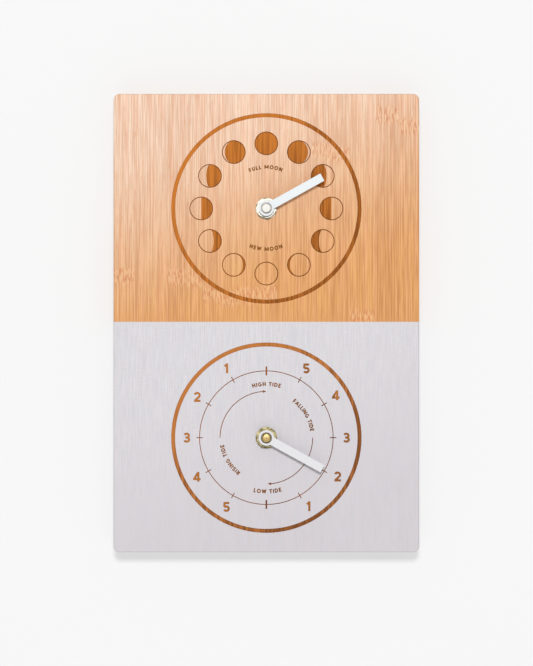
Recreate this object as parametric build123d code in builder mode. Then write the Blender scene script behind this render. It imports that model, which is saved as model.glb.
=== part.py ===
"""A wall clock for tide and moon: a bamboo board with two engraved dials, each with a quartz movement.

Millimetres. +Z is up, the dials face -Y and the back of the board lies in the plane Y = 0, against
the wall. The origin is the middle of that back face. A station is a distance in front of the wall.
"""

import os
from math import atan, cos, degrees, radians, sin

from build123d import *

# Board and dials
board_width = 200.0
board_height = 300.0
board_corner = 4.0
board_edge_chamfer = 0.5
dial_inset = 75.0
front_web = 3.2
engraving_depth = 0.3

# Dry cell, an AA
cell_radius = 7.25
cell_length = 50.5
cell_clearance = 0.1

# Movement case
case_wall = 1.2
case_corner = 3.0
case_clearance = 1.0
cover_thickness = 1.2
wall_gap = 0.1
gasket_thickness = 0.8
contact_sheet = 0.3
contact_gap = 0.1
leaf_room = 2.7

# Shafts, bush and hand
tube_radius = 2.5
centre_arbor_radius = 1.6
bush_radius = 4.0
bush_flange = 0.5
running_fit = 0.05
push_fit = 0.02
pivot_radius = 0.4
hand_reach = 41.8
hand_width = 5.4
moon_hand_turn = 29.0
tide_hand_turn = -28.8

# Wheel train: teeth, and the modules that set the distances between the axes
leaves = 6
hour_teeth = 24
reduction_teeth = 18
centre_teeth = 36
third_teeth = 36
second_teeth = 30
intermediate_teeth = 30
reduction_module = 0.9
centre_module = 0.5
second_module = 0.42
intermediate_module = 0.36
thick_wheel = 1.0
thin_wheel = 0.8
wheel_gap = 0.45

# Tooth forms: addendum and dedendum as shares of the module, root and tip as shares of half a pitch
leaf_shares = (0.9, 1.2, 0.55, 0.2)
tooth_shares = (0.95, 1.15, 0.62, 0.2)

# Where the axes lie round the hand's shaft, anticlockwise from the right as seen from the front
third_direction = 30.0
reduction_direction = 150.0
intermediate_direction = 100.0
rotor_direction = 80.0

# Posts, pins, pivots and their holes are small and many, so they have few sides
pin_sides = 8

# Every cut runs this far past the face it opens
overrun = 0.5

# Half a turn, in degrees
half_turn = 180

# The dials' centres lie this far above and below the middle of the board
dial_height = board_height / 2 - dial_inset

# Depths that the cell sets, as stations
floor = wall_gap + 2 * cell_clearance + 2 * cell_radius
case_front = floor + case_wall
pocket_depth = case_front + gasket_thickness
board_depth = pocket_depth + front_web
cover_front = wall_gap + cover_thickness

# The case is as wide as the cell and its contacts
case_side = 2 * case_wall + cell_length + contact_sheet + contact_gap + leaf_room
case_half = case_side / 2
inner_half = case_half - case_wall
cell_drop = inner_half - cell_clearance - cell_radius
cell_station = wall_gap + cell_clearance + cell_radius
rib_low = -cell_drop + cell_radius + cell_clearance
rib_high = rib_low + case_wall

# Levels of the train, as stations, each wheel behind the one before it
hour_front = floor - bush_flange - wheel_gap
hour_back = hour_front - thick_wheel
reduction_front = hour_back - wheel_gap
reduction_back = reduction_front - thick_wheel
centre_front = reduction_back - wheel_gap
centre_back = centre_front - thin_wheel
third_front = centre_back - wheel_gap
third_back = third_front - thin_wheel
plate_front = third_back - wheel_gap
plate_back = plate_front - thick_wheel
second_front = plate_back - wheel_gap
second_back = second_front - thin_wheel
intermediate_front = second_back - wheel_gap
intermediate_back = intermediate_front - thin_wheel
magnet_front = intermediate_back - wheel_gap
magnet_length = 1.8
magnet_back = magnet_front - magnet_length

# Distances between meshing axes, and the modules that must share them
third_distance = centre_module * (centre_teeth + leaves) / 2
third_module = 2 * third_distance / (third_teeth + leaves)
reduction_distance = reduction_module * (reduction_teeth + leaves) / 2
hour_module = 2 * reduction_distance / (hour_teeth + leaves)
intermediate_distance = second_module * (second_teeth + leaves) / 2
rotor_distance = intermediate_module * (intermediate_teeth + leaves) / 2


def beside(spot, distance, direction):
    """The point at a distance from a spot, in a direction anticlockwise from the right."""
    angle = radians(direction)
    return (spot[0] + distance * cos(angle), spot[1] + distance * sin(angle))


def facing(station, spot=(0, 0), turn=0):
    """The plane that faces the viewer at a station, with its middle on a spot of the board."""
    angle = radians(turn)
    return Plane(origin=(spot[0], -station, spot[1]), x_dir=(cos(angle), 0, sin(angle)), z_dir=(0, -1, 0))


def disc(spot, back, front, radius, bore=0, mode=Mode.ADD):
    """Add or cut a round length between two stations."""
    with BuildSketch(facing(back, spot)) as section:
        Circle(radius)
        if bore:
            Circle(bore, mode=Mode.SUBTRACT)
    extrude(section.sketch, amount=front - back, mode=mode)


def pin(spot, back, front, radius):
    """Add a post, pin or pivot between two stations, with its corners on the radius."""
    with BuildSketch(facing(back, spot)) as section:
        RegularPolygon(radius, pin_sides)
    extrude(section.sketch, amount=front - back)


def pin_hole(spot, back, front, radius):
    """Cut a hole that a round pin of the radius just fills."""
    with BuildSketch(facing(back, spot)) as section:
        RegularPolygon(radius, pin_sides, major_radius=False)
    extrude(section.sketch, amount=front - back, mode=Mode.SUBTRACT)


def block(spot, back, front, width, height, corner=0, mode=Mode.ADD):
    """Add or cut a rectangular length between two stations, centred on a spot."""
    with BuildSketch(facing(back, spot)) as section:
        if corner:
            RectangleRounded(width, height, corner)
        else:
            Rectangle(width, height)
    extrude(section.sketch, amount=front - back, mode=mode)


def turned(spot, *profile):
    """Turn a solid about the axis through a spot; the profile gives radius and station, back to front."""
    side = Plane(origin=(spot[0], 0, spot[1]), x_dir=(1, 0, 0), z_dir=(0, 0, -1))
    with BuildSketch(side) as section:
        with BuildLine():
            Polyline((0, profile[0][1]), *profile, (0, profile[-1][1]), close=True)
        make_face()
    revolve(section.sketch, axis=Axis((spot[0], 0, spot[1]), (0, -1, 0)))


def tip_radius(teeth, module, form):
    """Radius over the tips of a wheel or pinion."""
    return module * (teeth / 2 + form[0])


def root_radius(teeth, module, form):
    """Radius at the roots of a wheel or pinion."""
    return module * (teeth / 2 - form[1])


def toothed(spot, back, front, teeth, module, form, phase):
    """Add a straight-flanked wheel between two stations, with one tooth on the phase angle."""
    half_pitch = half_turn / teeth
    root = root_radius(teeth, module, form)
    tip = tip_radius(teeth, module, form)
    flanks = ((root, -form[2]), (tip, -form[3]), (tip, form[3]), (root, form[2]))
    outline = []
    for tooth in range(teeth):
        for radius, share in flanks:
            outline.append(beside((0, 0), radius, phase + half_pitch * (2 * tooth + share)))
    with BuildSketch(facing(back, spot)) as section:
        with BuildLine():
            Polyline(*outline, close=True)
        make_face()
    extrude(section.sketch, amount=front - back)


def meshed(phase, teeth, direction, other_teeth):
    """Phase of a wheel that meshes, in a direction, with a wheel of a known phase."""
    lead = (phase - direction) * teeth / other_teeth
    return direction + half_turn + half_turn / other_teeth - lead


def keep(piece, name):
    """Label a finished piece and write its file."""
    piece.label = name
    export_step(piece, f"parts/{name}.step")


# Phases of the train at rest, from the centre wheel to the rotor and from the arbor to the hour wheel
third_pinion_phase = meshed(0, centre_teeth, third_direction, leaves)
second_pinion_phase = meshed(third_pinion_phase, third_teeth, third_direction + half_turn, leaves)
intermediate_pinion_phase = meshed(second_pinion_phase, second_teeth, intermediate_direction, leaves)
rotor_pinion_phase = meshed(intermediate_pinion_phase, intermediate_teeth, rotor_direction, leaves)
reduction_phase = meshed(0, leaves, reduction_direction, reduction_teeth)
hour_phase = meshed(reduction_phase, leaves, reduction_direction + half_turn, hour_teeth)


# Dials: one broad engraved ring each
ring_radius = 62.3
ring_line = 2.6
shaft_hole_clearance = 0.5


# Hanger: a keyhole plate in a recess at the top of the back, with room behind it for a screw's head
hanger_width = 60.0
hanger_plate_height = 20.0
hanger_sheet = 1.5
hanger_corner = 3.0
hanger_clearance = 0.25
hanger_inset = 22.0
keyhole_radius = 4.5
keyhole_slot = 4.3
keyhole_rise = 8.5
keyhole_drop = 3.0
head_room_depth = 9.0
head_room_margin = 1.5
screw_spread = 24.0
screw_radius = 1.5
screw_head_radius = 3.0
screw_length = 12.0
hanger_height = board_height / 2 - hanger_inset
keyhole_spot = (0, hanger_height - keyhole_drop)
slot_spot = (0, keyhole_spot[1] + keyhole_rise)
screw_spots = ((-screw_spread, hanger_height), (screw_spread, hanger_height))
head_room_low = keyhole_spot[1] - keyhole_radius - head_room_margin
head_room_high = slot_spot[1] + keyhole_radius
head_room_spot = (0, (head_room_low + head_room_high) / 2)


def board():
    """The bamboo board, with its dials in front, and its pockets and hanger recess behind."""
    with BuildPart() as slab:
        block((0, 0), 0, board_depth, board_width, board_height, board_corner)
        chamfer(slab.faces().sort_by(Axis.Y)[0].edges(), board_edge_chamfer)
        pocket = case_side + 2 * case_clearance
        for height in (dial_height, -dial_height):
            spot = (0, height)
            block(spot, -overrun, pocket_depth, pocket, pocket, case_corner + case_clearance, Mode.SUBTRACT)
            shaft_hole = bush_radius + shaft_hole_clearance
            disc(spot, pocket_depth - overrun, board_depth + overrun, shaft_hole, mode=Mode.SUBTRACT)
            groove = board_depth - engraving_depth
            disc(spot, groove, board_depth + overrun, ring_radius, ring_radius - ring_line, Mode.SUBTRACT)
        recess = (hanger_width + 2 * hanger_clearance, hanger_plate_height + 2 * hanger_clearance)
        block((0, hanger_height), -overrun, hanger_sheet, *recess, hanger_corner, Mode.SUBTRACT)
        room_width = 2 * (keyhole_radius + head_room_margin)
        room_height = head_room_high - head_room_low
        room_end = hanger_sheet + head_room_depth
        block(head_room_spot, 0, room_end, room_width, room_height, keyhole_radius, Mode.SUBTRACT)
        for spot in screw_spots:
            pin_hole(spot, 0, screw_length, screw_radius + push_fit)
    return slab.part


def hanger_plate():
    """The pressed steel plate that drops over a screw in the wall."""
    with BuildPart() as plate:
        block((0, hanger_height), 0, hanger_sheet, hanger_width, hanger_plate_height, hanger_corner)
        disc(keyhole_spot, -overrun, hanger_sheet + overrun, keyhole_radius, mode=Mode.SUBTRACT)
        slot_middle = (0, (keyhole_spot[1] + slot_spot[1]) / 2)
        block(slot_middle, -overrun, hanger_sheet + overrun, keyhole_slot, keyhole_rise, mode=Mode.SUBTRACT)
        disc(slot_spot, -overrun, hanger_sheet + overrun, keyhole_slot / 2, mode=Mode.SUBTRACT)
        with Locations(*[facing(0, spot) * Rotation(0, half_turn, 0) for spot in screw_spots]):
            CounterSinkHole(screw_radius + push_fit, screw_head_radius + push_fit, hanger_sheet)
    return plate.part


def hanger_screws():
    """The two countersunk screws that hold the hanger plate."""
    head_depth = screw_head_radius - screw_radius
    head_taper = degrees(atan(cos(radians(half_turn / pin_sides))))
    with BuildPart() as screws:
        for spot in screw_spots:
            with BuildSketch(facing(0, spot)) as head:
                RegularPolygon(screw_head_radius, pin_sides)
            extrude(head.sketch, amount=head_depth, taper=head_taper)
            pin(spot, head_depth, screw_length, screw_radius)
    return screws.part


# Gasket, washer and nut, which clamp the web of the board between the case and the front
gasket_side = 44.0
gasket_bore_clearance = 0.3
washer_radius = 7.0
washer_thickness = 0.8
nut_across_flats = 12.0
nut_thickness = 2.6
nut_sides = 6
moon_nut_turn = 40.0
tide_nut_turn = 0.0
bush_stand = 0.8
washer_front = board_depth + washer_thickness
nut_front = washer_front + nut_thickness
bush_front = nut_front + bush_stand
flange_radius = 5.5


def rubber_gasket(spot):
    """The soft pad between the case and the board."""
    with BuildPart() as gasket:
        block(spot, case_front, pocket_depth, gasket_side, gasket_side)
        pin_hole(spot, case_front - overrun, pocket_depth + overrun, bush_radius + gasket_bore_clearance)
    return gasket.part


def washer(spot):
    """The flat ring under the nut."""
    with BuildPart() as ring:
        disc(spot, board_depth, washer_front, washer_radius)
        pin_hole(spot, board_depth - overrun, washer_front + overrun, bush_radius + gasket_bore_clearance)
    return ring.part


def mounting_nut(spot, turn):
    """The hexagonal brass nut on the bush."""
    with BuildPart() as nut:
        with BuildSketch(facing(washer_front, spot, turn)):
            RegularPolygon(nut_across_flats / 2, nut_sides, major_radius=False)
            Circle(bush_radius + running_fit, mode=Mode.SUBTRACT)
        extrude(amount=nut_thickness)
    return nut.part


def threaded_bush(spot):
    """The brass bush of the case, which carries the hour tube and takes the nut."""
    with BuildPart() as bush:
        back = floor - bush_flange
        pin(spot, back, floor, flange_radius)
        disc(spot, floor, bush_front, bush_radius)
        disc(spot, back - overrun, bush_front + overrun, tube_radius + running_fit, mode=Mode.SUBTRACT)
    return bush.part


# Hand: a white sheet with a round hub on a short collet, and the cap that closes the tube
hand_sheet = 0.6
hand_lift = 0.3
hub_radius = 5.1
collet_radius = 3.55
collet_length = 0.6
tube_stand = 0.3
cap_radius = 2.85
cap_thickness = 1.2
cap_dome = 0.5
cap_stem = 3.0
arbor_setback = 1.0
hand_back = bush_front + hand_lift + collet_length
hand_front = hand_back + hand_sheet
tube_front = hand_front + tube_stand


def hand(spot, turn):
    """The hand, cut from sheet, with its collet on the back of the hub."""
    with BuildPart() as sheet:
        with BuildSketch(facing(hand_back, spot, turn)):
            Circle(hub_radius)
            with Locations((hand_reach / 2, 0)):
                Rectangle(hand_reach, hand_width)
        extrude(amount=hand_sheet)
        disc(spot, hand_back - collet_length, hand_back, collet_radius)
        disc(spot, hand_back - collet_length - overrun, hand_front + overrun, tube_radius + push_fit,
             mode=Mode.SUBTRACT)
    return sheet.part


def hub_cap(spot):
    """The small turned cap whose stem is pushed into the end of the hour tube."""
    rim = tube_front + cap_thickness - cap_dome
    with BuildPart() as cap:
        pin(spot, tube_front - cap_stem, tube_front, centre_arbor_radius + running_fit - push_fit)
        turned(spot, (cap_radius, tube_front), (cap_radius, rim), (cap_radius - cap_dome, rim + cap_dome))
    return cap.part


def hour_wheel(spot):
    """The last wheel of the train, on the tube that carries the hand."""
    with BuildPart() as wheel:
        toothed(spot, hour_back, hour_front, hour_teeth, hour_module, tooth_shares, hour_phase)
        disc(spot, hour_back, tube_front, tube_radius)
        disc(spot, hour_back - overrun, tube_front + overrun, centre_arbor_radius + running_fit,
             mode=Mode.SUBTRACT)
    return wheel.part


# Centre arbor: a long arbor with the driving pinion, whose thin back end slips in the centre wheel
clutch_radius = 1.1
shoulder_gap = 0.1
arbor_tail = 0.2
pivot_bore_depth = 2.0


def centre_arbor(spot):
    """The arbor inside the hour tube, with the pinion that drives the reduction wheel."""
    tail = centre_back - arbor_tail
    shoulder = centre_front + shoulder_gap
    with BuildPart() as arbor:
        toothed(spot, shoulder, reduction_front, leaves, reduction_module, leaf_shares, 0)
        pin(spot, reduction_front, tube_front - cap_stem - arbor_setback, centre_arbor_radius)
        pin(spot, tail, shoulder, clutch_radius)
        pin_hole(spot, tail - overrun, tail + pivot_bore_depth, pivot_radius + running_fit)
    return arbor.part


def centre_wheel(spot):
    """The wheel that carries the arbor round by friction and lets it slip when the hand is set."""
    with BuildPart() as wheel:
        toothed(spot, centre_back, centre_front, centre_teeth, centre_module, tooth_shares, 0)
        pin_hole(spot, centre_back - overrun, centre_front + overrun, clutch_radius + running_fit)
    return wheel.part


# Setting arbor: it carries the reduction wheel and its pinion, and ends in the knob behind the cover
setting_radius = 0.8
setting_pivot_radius = 0.6
setting_pivot_depth = 1.0
knob_radius = 4.2
knob_thickness = 2.2
knob_inset = 0.2
knob_flutes = 12
knob_gap = 0.3
finger_gap = 1.0
dish_wall = 1.0
knob_back = wall_gap + knob_inset
knob_front = knob_back + knob_thickness
dish_back = knob_front + knob_gap
dish_front = dish_back + cover_thickness
dish_radius = knob_radius + finger_gap
knob_shares = (0.5, 0.5, 0.62, 0.3)


def reduction_wheel(spot):
    """The reduction wheel and its pinion, on the arbor that the knob turns."""
    axis = beside(spot, reduction_distance, reduction_direction)
    phase = reduction_phase
    with BuildPart() as wheel:
        toothed(axis, reduction_back, reduction_front, reduction_teeth, reduction_module, tooth_shares,
                phase)
        toothed(axis, reduction_front, hour_front, leaves, hour_module, leaf_shares, phase)
        pin(axis, hour_front, floor - bush_flange + setting_pivot_depth, setting_pivot_radius)
        pin(axis, knob_back + cover_thickness / 2, reduction_back, setting_radius)
    return wheel.part


def setting_knob(spot):
    """The fluted knob in the dish of the back cover."""
    axis = beside(spot, reduction_distance, reduction_direction)
    with BuildPart() as knob:
        module = 2 * knob_radius / (knob_flutes + 2 * knob_shares[0])
        toothed(axis, knob_back, knob_front, knob_flutes, module, knob_shares, 0)
        pin_hole(axis, knob_back + cover_thickness / 2, knob_front + overrun, setting_radius + push_fit)
    return knob.part


# Going train behind the centre wheel
arbor_radius = 0.5
pivot_length = 0.9
boss_wall = 0.7
magnet_radius = 1.8
rotor_neck = 0.6


def third_wheel(spot):
    """The third wheel and the pinion that drives the centre wheel."""
    axis = beside(spot, third_distance, third_direction)
    phase = third_pinion_phase
    with BuildPart() as wheel:
        toothed(axis, third_back, third_front, third_teeth, third_module, tooth_shares, phase)
        toothed(axis, third_front, centre_front, leaves, centre_module, leaf_shares, phase)
        disc(axis, centre_front, centre_front + wheel_gap + pivot_length, pivot_radius)
        pin(axis, third_back - wheel_gap - pivot_length, third_back, pivot_radius)
    return wheel.part


def second_wheel(spot):
    """The second wheel, behind the centre wheel on the same axis, with its front pivot in the arbor."""
    phase = second_pinion_phase
    with BuildPart() as wheel:
        toothed(spot, second_back, second_front, second_teeth, second_module, tooth_shares, phase)
        toothed(spot, third_back, third_front, leaves, third_module, leaf_shares, phase)
        pin(spot, second_front, third_back, arbor_radius)
        pin(spot, third_front, centre_back - arbor_tail + pivot_bore_depth - wheel_gap, pivot_radius)
        pin(spot, intermediate_back - wheel_gap - pivot_length, second_back, pivot_radius)
    return wheel.part


def intermediate_wheel(spot):
    """The wheel between the rotor and the second wheel."""
    axis = beside(spot, intermediate_distance, intermediate_direction)
    phase = intermediate_pinion_phase
    with BuildPart() as wheel:
        toothed(axis, intermediate_back, intermediate_front, intermediate_teeth, intermediate_module,
                tooth_shares, phase)
        toothed(axis, intermediate_front, second_front, leaves, second_module, leaf_shares, phase)
        disc(axis, second_front, second_front + wheel_gap + pivot_length, pivot_radius)
        pin(axis, magnet_front - wheel_gap - pivot_length, intermediate_back, pivot_radius)
    return wheel.part


def rotor_spot(spot):
    """Axis of the rotor."""
    intermediate = beside(spot, intermediate_distance, intermediate_direction)
    return beside(intermediate, rotor_distance, rotor_direction)


def rotor(spot):
    """The magnet of the stepping motor, with its pinion."""
    axis = rotor_spot(spot)
    phase = rotor_pinion_phase
    with BuildPart() as magnet:
        disc(axis, magnet_back, magnet_front, magnet_radius)
        pin(axis, magnet_front, intermediate_back, rotor_neck)
        toothed(axis, intermediate_back, intermediate_front, leaves, intermediate_module, leaf_shares,
                phase)
        pin(axis, intermediate_front, plate_back + pivot_length, pivot_radius)
        pin(axis, magnet_back - wheel_gap - pivot_length / 2, magnet_back, pivot_radius)
    return magnet.part


# Train plate, on four posts of the front case, which carries the back pivots of the front wheels
plate_width = 36.2
plate_height = 26.7
plate_shift = (1.0, 5.25)
plate_corner = 2.6
post_radius = 1.5
pin_radius = 0.7
pin_fit = 0.05


def plate_middle(spot):
    """Middle of the train plate."""
    return (spot[0] + plate_shift[0], spot[1] + plate_shift[1])


def post_spots(spot):
    """The plate's four fixing points, one radius in from its corners."""
    middle = plate_middle(spot)
    half = (plate_width / 2 - plate_corner, plate_height / 2 - plate_corner)
    return [(middle[0] + x * half[0], middle[1] + z * half[1]) for x in (-1, 1) for z in (-1, 1)]


def train_plate(spot):
    """The moulded plate between the front and the back of the train."""
    with BuildPart() as plate:
        block(plate_middle(spot), plate_back, plate_front, plate_width, plate_height, plate_corner)
        pinion_way = tip_radius(leaves, third_module, leaf_shares) + wheel_gap
        holes = [(spot, pinion_way)]
        holes.append((beside(spot, third_distance, third_direction), pivot_radius + running_fit))
        intermediate = beside(spot, intermediate_distance, intermediate_direction)
        holes.append((intermediate, pivot_radius + running_fit))
        holes.append((rotor_spot(spot), pivot_radius + running_fit))
        holes.append((beside(spot, reduction_distance, reduction_direction), setting_radius + wheel_gap))
        holes += [(post, pin_radius + pin_fit) for post in post_spots(spot)]
        for centre, radius in holes:
            pin_hole(centre, plate_back - overrun, plate_front + overrun, radius)
    return plate.part


# Stepping motor: stator and core stacked on two posts, with the bobbin on the core
stator_sheet = 1.0
stator_gap = 0.4
core_width = 2.6
core_reach = 14.3
lug_spread = 12.5
lug_width = 3.6
bobbin_half = 9.8
bobbin_flange_half = 3.0
bobbin_flange = 0.8
bobbin_wall = 0.4
bobbin_fit = 0.1
coil_margin = 1.5
winding_clearance = 0.3
winding_turn = 0.9
rotor_air_gap = 0.4
pole_width = 2.5
pole_radius = 3.6
core_post_radius = 1.3
core_pin_radius = 0.6
stator_front = magnet_front - stator_gap
stator_back = stator_front - stator_sheet
core_front = stator_front + stator_sheet
core_station = stator_front + stator_sheet / 2
coil_rise = inner_half - coil_margin - bobbin_flange_half
bobbin_tube_half = core_width / 2 + bobbin_fit + bobbin_wall


def lug_spots(spot):
    """The two fixing points of the core and the stator."""
    return [(spot[0] + side * lug_spread, spot[1] + coil_rise) for side in (-1, 1)]


def coil_core(spot):
    """The soft iron strip through the bobbin."""
    with BuildPart() as core:
        block((spot[0], spot[1] + coil_rise), stator_front, core_front, 2 * core_reach, core_width)
        for lug in lug_spots(spot):
            block(lug, stator_front, core_front, lug_width, lug_width)
            pin_hole(lug, stator_front - overrun, core_front + overrun, core_pin_radius + pin_fit)
    return core.part


def stator(spot):
    """The soft iron frame that leads the coil's field to the rotor."""
    pole = rotor_spot(spot)
    with BuildPart() as frame:
        block((spot[0], pole[1]), stator_back, stator_front, 2 * core_reach, pole_width)
        disc(pole, stator_back, stator_front, pole_radius)
        for lug in lug_spots(spot):
            leg = lug[1] + lug_width / 2 - pole[1] + pole_width / 2
            middle = lug[1] + lug_width / 2 - leg / 2
            block((lug[0], middle), stator_back, stator_front, lug_width, leg)
            pin_hole(lug, stator_back - overrun, stator_front + overrun, core_pin_radius + pin_fit)
        disc(pole, stator_back - overrun, stator_front + overrun, magnet_radius + rotor_air_gap,
             mode=Mode.SUBTRACT)
    return frame.part


def across(spot, shift):
    """The plane square to the coil, at a shift to the right of the movement's middle."""
    origin = (spot[0] + shift, -core_station, spot[1] + coil_rise)
    return Plane(origin=origin, x_dir=(0, -1, 0), z_dir=(1, 0, 0))


def coil_bobbin(spot):
    """The moulded bobbin: a square tube with a square flange at each end."""
    with BuildPart() as bobbin:
        for start, length, half in (
            (-bobbin_half, 2 * bobbin_half, bobbin_tube_half),
            (-bobbin_half, bobbin_flange, bobbin_flange_half),
            (bobbin_half - bobbin_flange, bobbin_flange, bobbin_flange_half),
        ):
            with BuildSketch(across(spot, start)):
                Rectangle(2 * half, 2 * half)
            extrude(amount=length)
        with BuildSketch(across(spot, -bobbin_half - overrun)):
            Rectangle(stator_sheet + 2 * bobbin_fit, core_width + 2 * bobbin_fit)
        extrude(amount=2 * (bobbin_half + overrun), mode=Mode.SUBTRACT)
    return bobbin.part


def coil_winding(spot):
    """The packed copper winding, as one sleeve between the flanges, rounded where the wire turns."""
    with BuildPart() as winding:
        half = bobbin_half - bobbin_flange - push_fit
        outer = 2 * (bobbin_flange_half - winding_clearance)
        inner = 2 * (bobbin_tube_half + push_fit)
        with BuildSketch(across(spot, -half)) as section:
            Rectangle(outer, outer)
            chamfer(section.vertices(), winding_turn)
            Rectangle(inner, inner, mode=Mode.SUBTRACT)
        extrude(amount=2 * half)
    return winding.part


# Circuit board on two posts, with the crystal and the control chip on its back
circuit_width = 11.2
circuit_height = 15.4
circuit_sheet = 0.8
circuit_margin = 0.7
crystal_radius = 1.0
crystal_length = 6.0
chip_side = 5.0
chip_thickness = 1.0
circuit_front = second_front
circuit_back = circuit_front - circuit_sheet
circuit_inset = 2.6


def circuit_middle(spot):
    """Middle of the circuit board, in the corner of the case beside the coil."""
    x = spot[0] - inner_half + circuit_margin + circuit_width / 2
    return (x, spot[1] + inner_half - circuit_margin - circuit_height / 2)


def circuit_posts(spot):
    """The two fixing points of the circuit board, in opposite corners."""
    middle = circuit_middle(spot)
    half = (circuit_width / 2 - circuit_inset / 2, circuit_height / 2 - circuit_inset / 2)
    return [(middle[0] + side * half[0], middle[1] + side * half[1]) for side in (-1, 1)]


def circuit_board(spot):
    """The small circuit board that counts the crystal down and steps the motor."""
    with BuildPart() as circuit:
        block(circuit_middle(spot), circuit_back, circuit_front, circuit_width, circuit_height)
        for post in circuit_posts(spot):
            pin_hole(post, circuit_back - overrun, circuit_front + overrun, core_pin_radius + pin_fit)
    return circuit.part


def quartz_crystal(spot):
    """The crystal in its metal can, lying on the circuit board."""
    middle = circuit_middle(spot)
    start = middle[0] - circuit_width / 2 + circuit_inset / 2
    rise = middle[1] + circuit_height / 2 - circuit_inset - crystal_radius
    station = circuit_back - crystal_radius - push_fit
    with BuildPart() as crystal:
        with BuildSketch(Plane(origin=(start, -station, rise), x_dir=(0, -1, 0), z_dir=(1, 0, 0))):
            Circle(crystal_radius)
        extrude(amount=crystal_length)
    return crystal.part


def control_chip(spot):
    """The chip under its drop of black resin."""
    middle = circuit_middle(spot)
    with BuildPart() as chip:
        block(middle, circuit_back - chip_thickness, circuit_back, chip_side, chip_side)
        chamfer(chip.faces().sort_by(Axis.Y)[-1].edges(), chip_thickness / 2)
    return chip.part


# Dry cell and its two contacts, bent from spring sheet
nub_radius = 2.75
nub_length = 1.0
strip_back = 3.2
strip_bend = 0.6
strip_end_rise = 2.0
strip_front = circuit_back
cell_end = inner_half - contact_sheet - contact_gap
pad_back = cell_station - cell_radius / 2
pad_front = cell_station + cell_radius / 2


def lying(spot, shift, rise):
    """The plane square to the cell, at a shift from the movement's middle."""
    return Plane(origin=(spot[0] + shift, -cell_station, spot[1] + rise), x_dir=(0, -1, 0), z_dir=(1, 0, 0))


def battery(spot):
    """The dry cell, lying across the foot of the case with its nub to the right."""
    start = cell_end - cell_length
    with BuildPart() as cell:
        with BuildSketch(lying(spot, start, -cell_drop)):
            Circle(cell_radius)
        extrude(amount=cell_length - nub_length)
        with BuildSketch(lying(spot, cell_end - nub_length, -cell_drop)):
            Circle(nub_radius)
        extrude(amount=nub_length)
    return cell.part


def bent_strip(spot, back, front, *route):
    """Bend a strip of contact sheet along a route seen from the front."""
    with BuildSketch(facing(back, spot)) as section:
        with BuildLine():
            FilletPolyline(*route, radius=strip_bend)
        trace(line_width=contact_sheet)
    extrude(section.sketch, amount=front - back)


def battery_contact_positive(spot):
    """The flat contact at the nub, with its strip along the rib to the circuit board."""
    wall = inner_half - contact_sheet / 2
    low = -cell_drop - cell_radius / 2
    rail = rib_high + contact_sheet / 2
    circuit = circuit_middle((0, 0))
    rise = circuit[1] - circuit_height / 2 + strip_end_rise
    with BuildPart() as contact:
        foot = circuit[0] - circuit_width / 2 + strip_end_rise
        bent_strip(spot, strip_back, strip_front, (wall, low), (wall, rail), (foot, rail), (foot, rise))
        pad = cell_radius
        with BuildSketch(facing(pad_back, spot)):
            with Locations((wall, -cell_drop)):
                Rectangle(contact_sheet, pad)
        extrude(amount=pad_front - pad_back)
    return contact.part


def battery_contact_negative(spot):
    """The folded leaf that presses on the flat end of the cell."""
    wall = -inner_half + contact_sheet / 2
    low = -cell_drop - cell_radius / 2
    high = rib_low - case_wall
    circuit = circuit_middle((0, 0))
    rise = circuit[1] - circuit_height / 2 + strip_end_rise
    crown = cell_end - cell_length - contact_gap - contact_sheet / 2
    with BuildPart() as contact:
        leaf = ((wall, high), (wall, low), (crown, -cell_drop), (wall + leaf_room / 2, high))
        bent_strip(spot, pad_back, pad_front, *leaf)
        tail = (spot[0] + wall, spot[1] + (high + rise) / 2)
        block(tail, strip_back, strip_front, contact_sheet, rise - high + contact_sheet)
    return contact.part


# Front case: a shell open at the back, with a rib that parts the cell's bay from the train
notch_width = 0.8


def front_case(spot):
    """The moulded case, with its posts, its bearing bosses and the cell's bay."""
    third = beside(spot, third_distance, third_direction)
    reduction = beside(spot, reduction_distance, reduction_direction)
    with BuildPart() as case:
        block(spot, wall_gap, case_front, case_side, case_side, case_corner)
        bay_height = rib_low + inner_half
        bay = (spot[0], spot[1] - inner_half + bay_height / 2)
        block(bay, wall_gap - overrun, floor, 2 * inner_half, bay_height, mode=Mode.SUBTRACT)
        train_height = inner_half - rib_high
        train = (spot[0], spot[1] + inner_half - train_height / 2)
        block(train, wall_gap - overrun, floor, 2 * inner_half, train_height, mode=Mode.SUBTRACT)
        seat_height = case_half - rib_low
        seat = (spot[0], spot[1] + rib_low + seat_height / 2 + overrun)
        block(seat, wall_gap - overrun, cover_front, case_side + overrun, seat_height + 2 * overrun,
              mode=Mode.SUBTRACT)
        for post in post_spots(spot):
            pin(post, plate_front, floor, post_radius)
            pin(post, plate_back, plate_front, pin_radius)
        for post in lug_spots(spot):
            pin(post, core_front, floor, core_post_radius)
            pin(post, stator_back, core_front, core_pin_radius)
        for post in circuit_posts(spot):
            pin(post, circuit_front, floor, core_post_radius)
            pin(post, circuit_back, circuit_front, core_pin_radius)
        boss = pivot_radius + running_fit + boss_wall
        pivot = centre_front + wheel_gap
        pin(third, pivot, floor, boss)
        pin_hole(third, pivot - wheel_gap, pivot + 2 * pivot_length, pivot_radius + running_fit)
        seat_front = floor - bush_flange
        pin(reduction, seat_front, floor, setting_pivot_radius + boss_wall)
        pivot_end = seat_front + setting_pivot_depth + wall_gap
        pin_hole(reduction, hour_front, pivot_end, setting_pivot_radius + running_fit)
        disc(spot, floor - overrun, case_front + overrun, bush_radius + push_fit, mode=Mode.SUBTRACT)
        notch = (rib_low + rib_high) / 2
        for side in (-1, 1):
            middle = (spot[0] + side * (inner_half - notch_width / 2), spot[1] + notch)
            block(middle, wall_gap, strip_front + contact_gap, notch_width, case_wall + 2 * contact_gap,
                  mode=Mode.SUBTRACT)
    return case.part


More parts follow.
